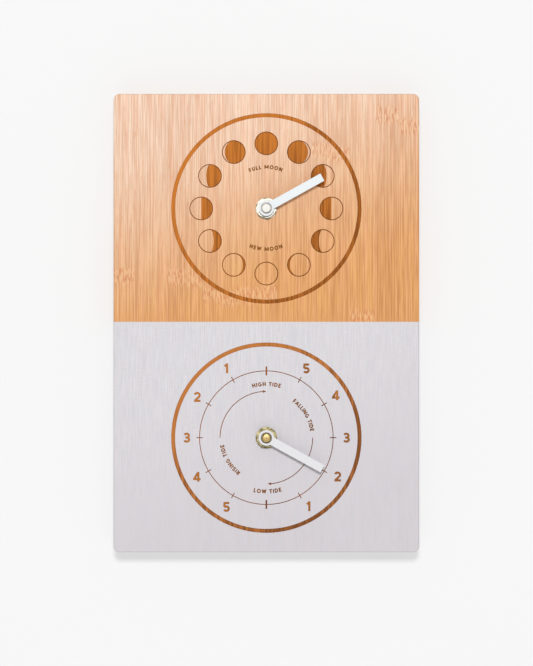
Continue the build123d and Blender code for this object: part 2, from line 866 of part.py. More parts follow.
# Back cover: a lid over the train, with the knob's dish, pivot bosses and three locating tabs
tab_width = 6.0
tab_sheet = 1.0
tab_depth = 2.5
tab_fit = 0.1


def back_cover(spot):
    """The lid of the train, which leaves the cell's bay open."""
    reduction = beside(spot, reduction_distance, reduction_direction)
    height = case_half - rib_low
    middle = (spot[0], spot[1] + rib_low + height / 2)
    with BuildPart() as cover:
        with BuildSketch(facing(wall_gap, middle)) as lid:
            Rectangle(case_side, height)
            fillet(lid.vertices().group_by(Axis.Z)[-1], case_corner)
        extrude(amount=cover_thickness)
        pin(reduction, wall_gap, dish_front, dish_radius + dish_wall)
        disc(reduction, wall_gap - overrun, dish_back, dish_radius, mode=Mode.SUBTRACT)
        pin_hole(reduction, dish_back - overrun, dish_front + overrun, setting_radius + running_fit)
        intermediate = beside(spot, intermediate_distance, intermediate_direction)
        bosses = [(spot, intermediate_back - wheel_gap)]
        bosses.append((intermediate, magnet_front - wheel_gap))
        bosses.append((rotor_spot(spot), magnet_back - wheel_gap))
        for axis, front in bosses:
            pin(axis, cover_front, front, pivot_radius + running_fit + boss_wall)
            blind = max(front - 2 * pivot_length, wall_gap + cover_thickness / 2)
            pin_hole(axis, blind, front + overrun, pivot_radius + running_fit)
        reach = inner_half - tab_fit - tab_sheet / 2
        top = (spot[0], spot[1] + reach)
        block(top, cover_front, cover_front + tab_depth, tab_width, tab_sheet)
        for side in (-1, 1):
            middle = (spot[0] + side * reach, spot[1] + inner_half - coil_margin - tab_width)
            block(middle, cover_front, cover_front + tab_depth, tab_sheet, tab_width)
    return cover.part


os.makedirs("parts", exist_ok=True)
keep(board(), "board")
keep(hanger_plate(), "hanger_plate")
keep(hanger_screws(), "hanger_screws")
movement_pieces = (
    rubber_gasket, washer, threaded_bush, hub_cap, hour_wheel, centre_arbor, centre_wheel,
    reduction_wheel, setting_knob, third_wheel, second_wheel, intermediate_wheel, rotor, train_plate,
    coil_core, stator, coil_bobbin, coil_winding, circuit_board, quartz_crystal, control_chip, battery,
    battery_contact_positive, battery_contact_negative, front_case, back_cover,
)
for dial, dial_spot, hand_turn, nut_turn in (
    ("moon", (0, dial_height), moon_hand_turn, moon_nut_turn),
    ("tide", (0, -dial_height), tide_hand_turn, tide_nut_turn),
):
    keep(hand(dial_spot, hand_turn), f"{dial}_hand")
    keep(mounting_nut(dial_spot, nut_turn), f"{dial}_mounting_nut")
    for make in movement_pieces:
        keep(make(dial_spot), f"{dial}_{make.__name__}")
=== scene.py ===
import math

import bmesh
import bpy
from mathutils import Matrix, Vector


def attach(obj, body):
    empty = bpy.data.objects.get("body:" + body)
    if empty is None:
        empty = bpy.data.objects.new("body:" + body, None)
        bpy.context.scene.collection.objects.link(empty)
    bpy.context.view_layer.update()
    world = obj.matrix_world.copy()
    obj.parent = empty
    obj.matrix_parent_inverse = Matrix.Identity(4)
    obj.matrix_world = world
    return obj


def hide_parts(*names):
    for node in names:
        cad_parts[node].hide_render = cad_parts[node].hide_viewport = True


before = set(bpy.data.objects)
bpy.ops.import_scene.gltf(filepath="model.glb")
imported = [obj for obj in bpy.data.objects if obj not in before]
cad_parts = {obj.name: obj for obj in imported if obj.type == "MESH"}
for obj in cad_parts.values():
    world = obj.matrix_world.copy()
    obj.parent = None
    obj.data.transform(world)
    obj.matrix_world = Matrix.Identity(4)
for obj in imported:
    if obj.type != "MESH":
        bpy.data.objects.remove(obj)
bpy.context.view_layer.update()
mm = 0.001

# The view
# The clock is seen straight on from two metres in front of its face, a little below its middle.
# The long side of the frame takes in 436 mm at the board's face.
eye = bpy.data.cameras.new("eye")
eye.sensor_width = 36
eye.lens = 165.2
eye_stand = bpy.data.objects.new("eye", eye)
eye_stand.location = (0.1 * mm, -2.02, -6.5 * mm)
eye_stand.rotation_euler = (math.pi / 2, 0, 0)
bpy.context.scene.collection.objects.link(eye_stand)
bpy.context.scene.camera = eye_stand
bpy.context.scene.view_settings.view_transform = "Standard"


# The room
# A smooth pale wall that the clock hangs on and a pale floor, lit by one broad lamp above the
# viewer and by pale light from all round. The wall glows a little, so that shadows on it stay
# light. Two more lamps stand behind for the views of the back.
def tint(red, green, blue):
    """A screen colour, 0 to 255, as the light that a finish needs."""
    return tuple(((part / 255 + 0.055) / 1.055) ** 2.4 for part in (red, green, blue)) + (1.0,)


class Tone:
    """A value on its way through a finish. Sums and products of tones add Math nodes."""

    def __init__(self, finish, socket):
        self.finish = finish
        self.socket = socket

    def worked(self, operation, first, second):
        """The outcome of one Math node."""
        return self.finish.node("ShaderNodeMath", {"operation": operation}, {0: first, 1: second})

    def __add__(self, other):
        return self.worked("ADD", self, other)

    def __sub__(self, other):
        return self.worked("SUBTRACT", self, other)

    def __rsub__(self, other):
        return self.worked("SUBTRACT", other, self)

    def __mul__(self, other):
        return self.worked("MULTIPLY", self, other)

    __radd__ = __add__
    __rmul__ = __mul__


class Finish:
    """One finish of the clock, worked out on the place of each point in metres."""

    def __init__(self, name):
        self.material = bpy.data.materials.new(name)
        self.material.use_nodes = True
        self.tree = self.material.node_tree
        self.tree.nodes.clear()

    def node(self, kind, settings=None, inlets=None, outlet=0):
        """Adds any node: its settings first, then the values or links of its sockets."""
        made = self.tree.nodes.new(kind)
        for setting, value in (settings or {}).items():
            if setting != "stops":
                setattr(made, setting, value)
                continue
            made.color_ramp.interpolation = "CONSTANT"
            stops = made.color_ramp.elements
            for number, (position, share) in enumerate(value):
                stop = stops[number] if number < 2 else stops.new(position)
                stop.position, stop.color = position, (share, share, share, 1)
        for inlet, value in (inlets or {}).items():
            if isinstance(value, Tone):
                self.tree.links.new(value.socket, made.inputs[inlet])
            else:
                made.inputs[inlet].default_value = value
        return Tone(self, made.outputs[outlet]) if made.outputs else None

    def place(self):
        """The point's own place."""
        return self.node("ShaderNodeTexCoord", outlet="Object")

    def axis(self, number, start=0.0):
        """How far the point lies along x, y or z from a start."""
        along = self.node("ShaderNodeSeparateXYZ", None, {0: self.place()}, number)
        return along - start if start else along

    def size(self, tone):
        """A tone without its sign."""
        return self.node("ShaderNodeMath", {"operation": "ABSOLUTE"}, {0: tone})

    def larger(self, first, second):
        """The larger of two tones."""
        return self.node("ShaderNodeMath", {"operation": "MAXIMUM"}, {0: first, 1: second})

    def facing(self, number):
        """How far the surface faces along x, y or z, from -1 to 1."""
        normal = self.node("ShaderNodeNewGeometry", outlet="Normal")
        return self.node("ShaderNodeSeparateXYZ", None, {0: normal}, number)

    def mottle(self, stretch, detail=2.0, shift=(0, 0, 0)):
        """Noise from 0 to 1 with so many blotches to the metre along x, y and z."""
        spot = self.node("ShaderNodeVectorMath", {"operation": "MULTIPLY_ADD"},
                         {0: self.place(), 1: stretch, 2: shift})
        return self.node("ShaderNodeTexNoise", None, {"Vector": spot, "Scale": 1.0, "Detail": detail})

    def rise(self, value, low, high):
        """0 below the low value, 1 above the high one, and smooth between."""
        return self.node("ShaderNodeMapRange", {"interpolation_type": "SMOOTHSTEP"},
                         {0: value, 1: low, 2: high})

    def mixed(self, share, first, second):
        """A colour between two, by the share of the second."""
        return self.node("ShaderNodeMix", {"data_type": "RGBA"}, {0: share, 6: first, 7: second}, 2)

    def coat(self, colour, gloss, relief=None, depth=0.0, steady=None):
        """Closes the finish: its colour, its roughness, its relief in metres and its steady values."""
        inlets = {"Base Color": colour, "Roughness": gloss, **(steady or {})}
        if relief is not None:
            inlets["Normal"] = self.node("ShaderNodeBump", None, {"Distance": depth, "Height": relief})
        shader = self.node("ShaderNodeBsdfPrincipled", None, inlets)
        self.node("ShaderNodeOutputMaterial", None, {"Surface": shader})
        return self.material


wall_paint = Finish("wall_paint")
wall_tone = wall_paint.mixed(wall_paint.mottle((3, 3, 3)), tint(229, 229, 229), tint(231, 231, 231))
wall_matt = wall_paint.node("ShaderNodeBsdfDiffuse", None, {"Color": wall_tone})
wall_glow = wall_paint.node("ShaderNodeEmission", None, {"Color": tint(246, 246, 246)})
wall_front = wall_paint.node("ShaderNodeMixShader", None, {0: 0.5, 1: wall_matt, 2: wall_glow})
wall_behind = wall_paint.node("ShaderNodeBsdfTransparent")
wall_side = wall_paint.node("ShaderNodeNewGeometry", outlet="Backfacing")
wall_shader = wall_paint.node("ShaderNodeMixShader", None, {0: wall_side, 1: wall_front, 2: wall_behind})
wall_paint.node("ShaderNodeOutputMaterial", None, {"Surface": wall_shader})

wall_back, floor_level, room_half = 0.2 * mm, -1.2, 5.0
for name, corners in {
    "wall": [(-room_half, wall_back, floor_level), (room_half, wall_back, floor_level),
             (room_half, wall_back, room_half), (-room_half, wall_back, room_half)],
    "floor": [(-room_half, -room_half, floor_level), (room_half, -room_half, floor_level),
              (room_half, room_half, floor_level), (-room_half, room_half, floor_level)],
}.items():
    surface = bpy.data.meshes.new(name)
    surface.from_pydata(corners, [], [(0, 1, 2, 3)])
    surface.materials.append(wall_paint.material)
    backdrop = bpy.data.objects.new(name, surface)
    bpy.context.scene.collection.objects.link(backdrop)
wall = bpy.data.objects["wall"]
wall.visible_shadow = wall.visible_diffuse = wall.visible_glossy = False

sky = bpy.data.worlds.new("pale_room")
sky.use_nodes = True
sky_nodes, sky_links = sky.node_tree.nodes, sky.node_tree.links
way_up = sky_nodes.new("ShaderNodeSeparateXYZ")
sky_links.new(sky_nodes.new("ShaderNodeTexCoord").outputs["Generated"], way_up.inputs[0])
dimming = sky_nodes.new("ShaderNodeMapRange")  # paler above than below
for inlet, value in {"From Min": -1.0, "From Max": 1.0, "To Min": 0.03, "To Max": 0.64}.items():
    dimming.inputs[inlet].default_value = value
sky_links.new(way_up.outputs["Z"], dimming.inputs[0])
sky_links.new(dimming.outputs[0], sky_nodes["Background"].inputs["Strength"])
sky_nodes["Background"].inputs["Color"].default_value = (1, 1, 1, 1)
bpy.context.scene.world = sky

for name, spot, side, power in (
    ("front_lamp", (0.0, -4.0, 1.3), 0.7, 115),  # its place and side in metres, and its watts
    ("back_lamp_left", (-0.9, 1.6, 1.1), 0.9, 16),
    ("back_lamp_right", (1.1, 1.5, 0.2), 0.9, 9),
):
    lamp = bpy.data.lights.new(name, "AREA")
    lamp.size = side
    lamp.energy = power
    stand = bpy.data.objects.new(name, lamp)
    stand.location = spot
    stand.rotation_euler = (-Vector(spot)).to_track_quat("-Z", "Y").to_euler()
    bpy.context.scene.collection.objects.link(stand)

# The board
# One upright board, glued up from strips of bamboo that run the whole height, with their knuckles
# showing. The lower half is sprayed pale lavender grey. The dials are burnt in after the spraying.
board_wide, board_high, board_face = 200 * mm, 300 * mm, -20.0 * mm
paint_edge = 0.8 * mm
moon_dial = Vector((0, 0, 75 * mm))
tide_dial = Vector((0, 0, -75 * mm))
strips = (  # width in mm, paleness, and height of a knuckle in mm, for each strip from the left edge
    (13, 0.54, 31), (11, 0.48, -64), (11, 0.56, -70), (12, 0.43, 30), (11, 0.51, 29), (11, 0.5, 19),
    (11, 0.60, 16), (14, 0.66, 18), (13, 0.55, 19), (11, 0.60, -62), (11, 0.52, -92), (12, 0.56, 113),
    (13, 0.50, 110), (17, 0.60, 3), (15, 0.38, 136), (14, 0.48, 129),
)


def fibres(finish):
    """The run of the bamboo's fibres: 1 in a dark fibre, 0 between."""
    broad = finish.mottle((900, 900, 12))
    fine = finish.mottle((1500, 1500, 36), 2.0, (7, 3, 1))
    return finish.rise(broad * 0.45 + fine * 0.55, 0.4, 0.6)


def strip_ramp(finish, shares):
    """One value for each strip of the board, by steps from its left edge to its right."""
    edges = [sum(strip[0] for strip in strips[:number]) * mm / board_wide for number in range(len(strips))]
    stops = list(zip(edges, shares))
    across_board = finish.axis(0) * (1 / board_wide) + 0.5
    return finish.node("ShaderNodeValToRGB", {"stops": stops}, {0: across_board})


# The wood is paler and pinker at the upper left and darker and browner at the lower right, partly
# its own tone and partly painted light falling from the upper left. Over that lie a blush, the
# dark fibres with the paleness of each strip, flecks, and dashes where a strip has its knuckle.
bamboo = Finish("bamboo_and_paint")
fibre = fibres(bamboo)
across, deep, height = bamboo.axis(0), bamboo.axis(1), bamboo.axis(2)
paleness = strip_ramp(bamboo, [strip[1] for strip in strips])
knuckle_share = strip_ramp(bamboo, [strip[2] * mm / board_high + 0.5 for strip in strips])
knuckle = knuckle_share * board_high - board_high / 2
# Partly the wood's own warmth, partly painted light: paler up and to the left, darker down and to the right.
tone_and_painted_light = bamboo.rise(across * 2.0 - height * 7.5 + bamboo.mottle((9, 9, 3)) * 0.5, -1.05, 0.2)
wood = bamboo.mixed(tone_and_painted_light, tint(226, 198, 175), tint(213, 152, 82))
blush = bamboo.rise(bamboo.mottle((300, 300, 16), 2.0, (4, 4, 4)), 0.45, 0.62)
wood = bamboo.mixed(blush * 0.22, wood, tint(232, 162, 122))
streak = bamboo.mixed(tone_and_painted_light, tint(184, 118, 70), tint(146, 78, 28))
wood = bamboo.mixed(fibre * 0.42 + (0.62 - paleness) * 0.6 - 0.06, wood, streak)
flecks = bamboo.rise(bamboo.mottle((1500, 1500, 110), 2.0, (1, 8, 3)), 0.56, 0.68)
wood = bamboo.mixed(flecks * 0.32, wood, tint(196, 118, 66))
dashes = bamboo.rise(bamboo.mottle((1000, 1000, 190)), 0.44, 0.58)
joint = 1.0 - bamboo.rise(bamboo.size(height - knuckle), 2.5 * mm, 8.0 * mm)
wood = bamboo.mixed(joint * dashes * 0.52, wood, tint(188, 108, 54))
wood = bamboo.mixed(joint * (1.0 - dashes) * 0.3, wood, tint(238, 196, 150))

# The paint is thin enough to show the run of the fibres, and darker at the lower right with
# painted shade, where the light falls off.
weave = bamboo.mottle((1500, 1500, 60)) + bamboo.mottle((200, 1500, 1500), 2.0, (5, 5, 5)) * 0.4
# Painted shade: the paint darkens towards the bottom and the right.
painted_shade = bamboo.rise(across * 1.5 - height * 5.0, 0.0, 0.8)
paint = bamboo.mixed(painted_shade, tint(203, 201, 204), tint(190, 183, 186))
rosy = bamboo.rise(bamboo.mottle((420, 420, 60)), 0.35, 0.65)
paint = bamboo.mixed(rosy * 0.3, paint, tint(206, 196, 200))
paint = bamboo.mixed(bamboo.rise(weave, 0.5, 0.9), paint, tint(192, 189, 194))

# The spray reaches the front and the sides, but not the pockets, the holes or the back.
past_pockets, past_ends, skin = (60 * mm, 62 * mm), (120 * mm, 122 * mm), (-19.6 * mm, -19.5 * mm)
outside = bamboo.larger(bamboo.rise(bamboo.size(across), *past_pockets),
                        bamboo.rise(bamboo.size(height), *past_ends))
outside = bamboo.larger(outside, 1.0 - bamboo.rise(deep, *skin))
sprayed = (1.0 - bamboo.rise(height, paint_edge - 0.05 * mm, paint_edge + 0.05 * mm)) * outside
sprayed = sprayed * (1.0 - bamboo.rise(bamboo.facing(1), 0.4, 0.6))
sawn = bamboo.rise(bamboo.size(bamboo.facing(2)), 0.6, 0.9)  # the sawn ends of the fibres are dull
bamboo.coat(bamboo.mixed(sprayed, wood, paint), 0.5 + fibre * 0.12 + sawn * 0.36, fibre, 0.02 * mm)


def burnt(name, pale, dark, dial=None):
    """Bamboo that the engraver's beam has cut and browned, darkest in the dark fibres and at the
    lower right of a dial."""
    finish = Finish(name)
    patches = finish.mottle((16, 16, 10), 3.0, (2, 2, 2))
    burn = fibres(finish) * 0.3 + patches * 1.1 + finish.axis(0) * 2.4
    if dial is not None:
        burn = burn - finish.axis(2, dial.z) * 2.2
    char = finish.rise(burn, 0.34, 0.94)
    groove_wall = finish.rise(finish.facing(1), -0.6, -0.3)
    colour = finish.mixed(finish.larger(char, groove_wall), pale, dark)
    return finish.coat(colour, 0.75, char, 0.03 * mm, {"Specular IOR Level": 0.15})


burnt_fill = burnt("burnt_fill", tint(190, 113, 42), tint(130, 71, 18), moon_dial)
burnt_line = burnt("burnt_line", tint(148, 84, 28), tint(106, 56, 14))
burnt_words = burnt("burnt_words", tint(152, 94, 30), tint(108, 64, 18))
burnt_numerals = burnt("burnt_numerals", tint(178, 114, 54), tint(128, 78, 36))
burnt_paint = burnt("burnt_through_paint", tint(180, 112, 55), tint(116, 67, 30), tide_dial)


def worked_copy(node, name):
    """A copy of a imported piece, closed and with its flat faces whole, that may be worked on."""
    loose = bmesh.new()
    loose.from_mesh(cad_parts[node].data)
    bmesh.ops.remove_doubles(loose, verts=loose.verts, dist=1e-7)
    bmesh.ops.dissolve_limit(loose, angle_limit=math.radians(0.5), verts=loose.verts, edges=loose.edges)
    loose.verts.index_update()
    mesh = bpy.data.meshes.new(name)
    faces = [[corner.index for corner in face.verts] for face in loose.faces]
    mesh.from_pydata([corner.co for corner in loose.verts], [], faces)
    loose.free()
    return placed(name, mesh)


def placed(name, mesh, *finishes):
    """A new piece of the clock, with its place in its mesh."""
    for finish in finishes:
        mesh.materials.append(finish)
    piece = bpy.data.objects.new(name, mesh)
    bpy.context.scene.collection.objects.link(piece)
    return piece


def settle(piece):
    """Works the modifiers of a piece into its mesh."""
    ready = piece.evaluated_get(bpy.context.evaluated_depsgraph_get())
    mesh = bpy.data.meshes.new_from_object(ready)
    piece.modifiers.clear()
    piece.data = mesh
    return piece


def cut(piece, tool, operation="DIFFERENCE"):
    """Cuts a tool's shape out of a piece. The cut keeps the tool's finish."""
    step = piece.modifiers.new("cut", "BOOLEAN")
    step.solver = "EXACT"
    step.operation = operation
    step.object = tool
    step.material_mode = "TRANSFER"
    piece.modifiers.new("weld", "WELD").merge_threshold = 0.001 * mm
    settle(piece)
    bpy.data.objects.remove(tool)


def eased(piece, width, segments=2, angle=40):
    """Takes the sharpness off the edges of a piece."""
    step = piece.modifiers.new("ease", "BEVEL")
    step.width = width
    step.segments = segments
    step.limit_method = "ANGLE"
    step.angle_limit = math.radians(angle)
    return settle(piece)


def smoothed(piece, angle=32):
    """Shades round faces round and keeps flat fronts flat and edges crisp."""
    piece.data.set_sharp_from_angle(angle=math.radians(angle))
    for face in piece.data.polygons:
        face.use_smooth = abs(face.normal.y) < 0.99


overrun = 0.5 * mm  # how far a cutter stands out of the face that it cuts
front_start = board_face - overrun


def stamp(work, outline, middle, depth, finish=0, start=front_start):
    """Adds a closed cutter to work: an outline seen from the front, carried from a start to a depth."""
    top = [work.verts.new((middle.x + x, start, middle.z + z)) for x, z in outline]
    foot = [work.verts.new((middle.x + x, depth, middle.z + z)) for x, z in outline]
    faces = [work.faces.new(top), work.faces.new(foot[::-1])]
    for number in range(len(top)):
        after = (number + 1) % len(top)
        faces.append(work.faces.new((top[after], top[number], foot[number], foot[after])))
    for face in faces:
        face.material_index = finish


def band(work, radius, line, middle, depth, finish, steps):
    """Adds a closed cutter to work in the shape of a thin ring round a middle."""
    outer, inner = radius + line / 2, radius - line / 2
    turns = [2 * math.pi * step / steps for step in range(steps)]
    rings = []
    for reach, deep in ((outer, front_start), (inner, front_start), (inner, depth), (outer, depth)):
        rings.append([work.verts.new((middle.x + reach * math.sin(turn), deep,
                                      middle.z + reach * math.cos(turn))) for turn in turns])
    for ring, other in zip(rings, rings[1:] + rings[:1]):
        for step in range(steps):
            after = (step + 1) % steps
            face = work.faces.new((ring[step], ring[after], other[after], other[step]))
            face.material_index = finish


def cutter(name, work, *finishes):
    """Makes the closed cutters in work one tool."""
    bmesh.ops.recalc_face_normals(work, faces=work.faces)
    mesh = bpy.data.meshes.new(name)
    work.to_mesh(mesh)
    work.free()
    return placed(name, mesh, *finishes)


def arc(radius, start, stop, steps, squash=1.0):
    """Points on an arc, by angles clockwise from the top."""
    turns = [math.radians(start + (stop - start) * step / steps) for step in range(steps + 1)]
    return [(squash * radius * math.sin(turn), radius * math.cos(turn)) for turn in turns]


def turned_spot(dial, pitch, angle):
    """The place on a dial at a radius and an angle clockwise from the top."""
    turn = math.radians(angle)
    return dial + Vector((pitch * math.sin(turn), 0, pitch * math.cos(turn)))


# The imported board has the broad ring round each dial. All of that groove is burnt.
board = worked_copy("board", "bamboo_board")
for finish in (bamboo.material, burnt_fill, burnt_paint):
    board.data.materials.append(finish)
ring_inner, ring_outer, ring_deepest = 59.6 * mm, 62.4 * mm, board_face + 0.4 * mm
for face in board.data.polygons:
    corners = [board.data.vertices[number].co for number in face.vertices]
    for number, dial in enumerate((moon_dial, tide_dial)):
        reaches = [math.hypot(corner.x - dial.x, corner.z - dial.z) for corner in corners]
        in_ring = all(ring_inner < reach < ring_outer for reach in reaches)
        if in_ring and all(corner.y < ring_deepest for corner in corners):
            face.material_index = 1 + number

# The moon dial: twelve discs, one for each phase. The burnt part of a disc is the lit part of the
# moon, so the full moon at the top is burnt all over, and the new moon below is an outline. The
# filled shapes are cut first, and the thin outlines a little deeper over them.
disc_pitch, disc_radius, disc_line = 42.6 * mm, 7.75 * mm, 0.6 * mm
groove, deep_groove = board_face + 0.3 * mm, board_face + 0.36 * mm
shades = (0.8, 0.33, 0.0, -0.33, -0.8)  # how far the edge of the light bulges, of the radius
fill_radius = disc_radius - disc_line / 2
first_cut = bmesh.new()
stamp(first_cut, arc(fill_radius, 0, 360, 64)[:-1], turned_spot(moon_dial, disc_pitch, 0), groove)
for number, shade in enumerate(shades):
    left_limb = arc(fill_radius, 180, 360, 32)
    back_up = arc(fill_radius, 0, 180, 32, shade)[1:-1]
    stamp(first_cut, left_limb + back_up, turned_spot(moon_dial, disc_pitch, 30 * (number + 1)), groove)
    right_limb = arc(fill_radius, 0, 180, 32)
    back_down = arc(fill_radius, 180, 0, 32, shade)[1:-1]
    stamp(first_cut, right_limb + back_down, turned_spot(moon_dial, disc_pitch, 210 + 30 * number), groove)

# The tide dial: a thin circle with a mark for each hour, and two long arrows inside it. Each
# arrow is one outline: its shaft out along one side, round the head, and back.
scale_radius, fine_line = 43.7 * mm, 0.52 * mm
band(first_cut, scale_radius, fine_line, tide_dial, groove, 1, 128)
arrow_radius, arrow_line, head_long, head_wide = 30.3 * mm, 0.52 * mm, 4.2, 1.9 * mm
for start, stop in ((90, 178.3), (270, 360)):
    outer = arc(arrow_radius + arrow_line / 2, start, stop - head_long, 40)
    inner = arc(arrow_radius - arrow_line / 2, stop - head_long, start, 40)
    head = [arc(arrow_radius + head_wide / 2, stop - head_long, 0, 1)[0],
            arc(arrow_radius, stop, 0, 1)[0],
            arc(arrow_radius - head_wide / 2, stop - head_long, 0, 1)[0]]
    stamp(first_cut, outer + head + inner, tide_dial, groove, 1)
cut(board, cutter("first_cut", first_cut, burnt_fill, burnt_line))


def repeating_tree():
    """The node tree that repeats one shape, each time turned and moved by one step more."""
    tree = bpy.data.node_groups.new("repeated_shape", "GeometryNodeTree")
    for kind, name in (("Geometry", "Shape"), ("Int", "Count"), ("Float", "First turn"), ("Float", "Turn"),
                       ("Vector", "Middle"), ("Vector", "Move"), ("Material", "Finish")):
        tree.interface.new_socket(name, in_out="INPUT", socket_type="NodeSocket" + kind)
    tree.interface.new_socket("Shapes", in_out="OUTPUT", socket_type="NodeSocketGeometry")

    def node(kind, settings=None, inlets=None):
        made = tree.nodes.new(kind)
        for setting, value in (settings or {}).items():
            setattr(made, setting, value)
        for inlet, value in (inlets or {}).items():
            tree.links.new(value, made.inputs[inlet])
        return made.outputs[0] if made.outputs else None

    given = node("NodeGroupInput").node.outputs
    number = node("GeometryNodeInputIndex")
    turn = node("ShaderNodeMath", {"operation": "MULTIPLY_ADD"},
                {0: number, 1: given["Turn"], 2: given["First turn"]})
    spot = node("ShaderNodeVectorMath", {"operation": "MULTIPLY_ADD"},
                {0: number, 1: given["Move"], 2: given["Middle"]})
    spots = node("GeometryNodePoints", None, {"Count": given["Count"], "Position": spot})
    around = node("GeometryNodeInstanceOnPoints", None, {
        "Points": spots, "Instance": given["Shape"],
        "Rotation": node("ShaderNodeCombineXYZ", None, {"Y": turn})})
    whole = node("GeometryNodeRealizeInstances", None, {0: around})
    finished = node("GeometryNodeSetMaterial", None, {"Geometry": whole, "Material": given["Finish"]})
    node("NodeGroupOutput", None, {0: finished})
    return tree


repeated_shape = repeating_tree()


def repeated(shape, count, finish, middle, turn=0.0, first_turn=0.0, move=(0, 0, 0)):
    """Repeats a shape, by turns in degrees clockwise and a move in metres, and leaves a plain mesh."""
    repeat = shape.modifiers.new("repeat", "NODES")
    repeat.node_group = repeated_shape
    given = {"Count": count, "First turn": math.radians(first_turn), "Turn": math.radians(turn),
             "Middle": middle, "Move": move, "Finish": finish}
    for socket in repeated_shape.interface.items_tree:
        if socket.name in given:
            repeat[socket.identifier] = given[socket.name]
    return settle(shape)


outline = bmesh.new()
band(outline, fill_radius, disc_line, Vector((0, 0, disc_pitch)), deep_groove, 0, 64)
outlines = cutter("disc_outlines", outline, burnt_line)
cut(board, repeated(outlines, 12, burnt_line, moon_dial, 30))
hour_marks = (  # length and width in mm, how many, the first one's angle and the angle between
    (4.2, 0.58, 5, 30, 30),
    (4.2, 0.58, 5, 210, 30),
    (5.8, 1.05, 2, 0, 180),
)
for long, wide, count, first_turn, step in hour_marks:
    half, low, high = wide * mm / 2, scale_radius - long * mm / 2, scale_radius + long * mm / 2
    tick = bmesh.new()
    stamp(tick, [(-half, low), (half, low), (half, high), (-half, high)], Vector((0, 0, 0)), deep_groove)
    ticks = cutter("hour_marks", tick, burnt_line)
    cut(board, repeated(ticks, count, burnt_line, tide_dial, step, first_turn))

# The plain words and numerals of the dials. Each letter is a few strokes of one width, on a cap
# height of 1, with its width given first. The letters of a word stand square to their arc.
bold = 0.205  # the width of stroke that the letters are laid out for
inset, crown = bold / 2, 1 - bold / 2


def bow(middle, radius, wide, start, stop, steps=10):
    """Points on a bow, by angles from the right, anticlockwise."""
    turns = [math.radians(start + (stop - start) * step / steps) for step in range(steps + 1)]
    return [(middle[0] + wide * math.cos(turn), middle[1] + radius * math.sin(turn)) for turn in turns]


def upright(x):
    """One upright stroke over the whole cap height."""
    return [(x, 0), (x, 1)]


round_half = 0.5 - inset
alphabet = {
    "A": (0.84, [(0.09, 0), (0.42, 0.92)], [(0.75, 0), (0.42, 0.92)], [(0.2, 0.27), (0.64, 0.27)]),
    "D": (0.8, upright(inset),
          [(inset, crown)] + bow((0.3, 0.5), round_half, 0.4, 90, -90) + [(inset, inset)]),
    "E": (0.56, [(0.56, crown), (inset, crown), (inset, inset), (0.56, inset)],
          [(inset, 0.5), (0.5, 0.5)]),
    "F": (0.54, [(0.54, crown), (inset, crown), (inset, 0)], [(inset, 0.48), (0.49, 0.48)]),
    "G": (0.92, bow((0.46, 0.5), round_half, 0.365, 48, 345, 20), [(0.5, 0.44), (0.92, 0.44)]),
    "H": (0.74, upright(inset), upright(0.74 - inset), [(inset, 0.5), (0.74 - inset, 0.5)]),
    "I": (bold, upright(inset)),
    "L": (0.52, [(inset, 1), (inset, inset), (0.52, inset)]),
    "M": (1.06, upright(inset), upright(1.06 - inset), [(0.1, 0.92), (0.53, 0.2)],
          [(0.96, 0.92), (0.53, 0.2)]),
    "N": (0.8, upright(inset), upright(0.8 - inset), [(0.1, 0.9), (0.7, 0.1)]),
    "O": (0.96, bow((0.48, 0.5), round_half, 0.385, 0, 190, 14),
          bow((0.48, 0.5), round_half, 0.385, 180, 370, 14)),
    "R": (0.68, upright(inset),
          [(inset, 0.905)] + bow((0.36, 0.69), 0.215, 0.225, 90, -90) + [(inset, 0.475)],
          [(0.34, 0.46), (0.6, 0)]),
    "S": (0.62, bow((0.31, 0.7), 0.205, 0.215, 25, 270) + bow((0.31, 0.3), 0.205, 0.22, 90, -155)[1:]),
    "T": (0.66, [(0, crown), (0.66, crown)], [(0.33, crown), (0.33, 0)]),
    "U": (0.72, [(0.095, 1)] + bow((0.36, 0.37), 0.275, 0.265, 180, 360) + [(0.625, 1)]),
    "W": (1.12, [(0.1, 1), (0.32, 0.08)], [(0.56, 0.92), (0.32, 0.08)], [(0.56, 0.92), (0.8, 0.08)],
          [(1.02, 1), (0.8, 0.08)]),
    "1": (0.44, upright(0.3), [(0.32, 0.93), (0.05, 0.7)]),
    "2": (0.7, bow((0.35, 0.67), 0.235, 0.245, 165, -36) + [(0.12, 0.13)], [(0.03, inset), (0.69, inset)]),
    "3": (0.7, bow((0.34, 0.71), 0.195, 0.23, 155, -90) + [(0.22, 0.515)],
          [(0.24, 0.515)] + bow((0.34, 0.305), 0.21, 0.255, 90, -155)),
    "4": (0.76, upright(0.53), [(0, 0.27), (0.76, 0.27)], [(0.5, 0.92), (0.11, 0.32)]),
    "5": (0.7, [(0.64, crown), (0.17, crown), (0.13, 0.5)], bow((0.34, 0.32), 0.225, 0.25, 142, -152)),
}


def stroke_outline(points, width):
    """The closed outline of a stroke of one width along some points."""
    left, right = [], []
    for number, point in enumerate(points):
        ways = []
        for first, second in ((number - 1, number), (number, number + 1)):
            if first >= 0 and second < len(points):
                way = Vector(points[second]) - Vector(points[first])
                ways.append(way.normalized())
        middle = sum(ways, Vector((0, 0))).normalized()
        reach = width / 2 / max(middle.dot(ways[0]), 0.6)  # a sharp corner is kept blunt
        side = Vector((-middle.y, middle.x)) * reach
        left.append(Vector(point) + side)
        right.append(Vector(point) - side)
    return left + right[::-1]


def set_letter(sign, cap, middle, up, finish, weight):
    """Adds the strokes of one letter, each to its layer, with its middle at a place on a dial and
    its top one way."""
    wide, *strokes = alphabet[sign]
    along = Vector((up.z, 0, -up.x))
    for number, points in enumerate(strokes):
        shape = [(along * (x - wide / 2) + up * (z - 0.5)) * cap for x, z in stroke_outline(points, weight)]
        depth = groove + number * layer_step
        stamp(stroke_layers[number], [(spot.x, spot.z) for spot in shape], middle, depth, finish)


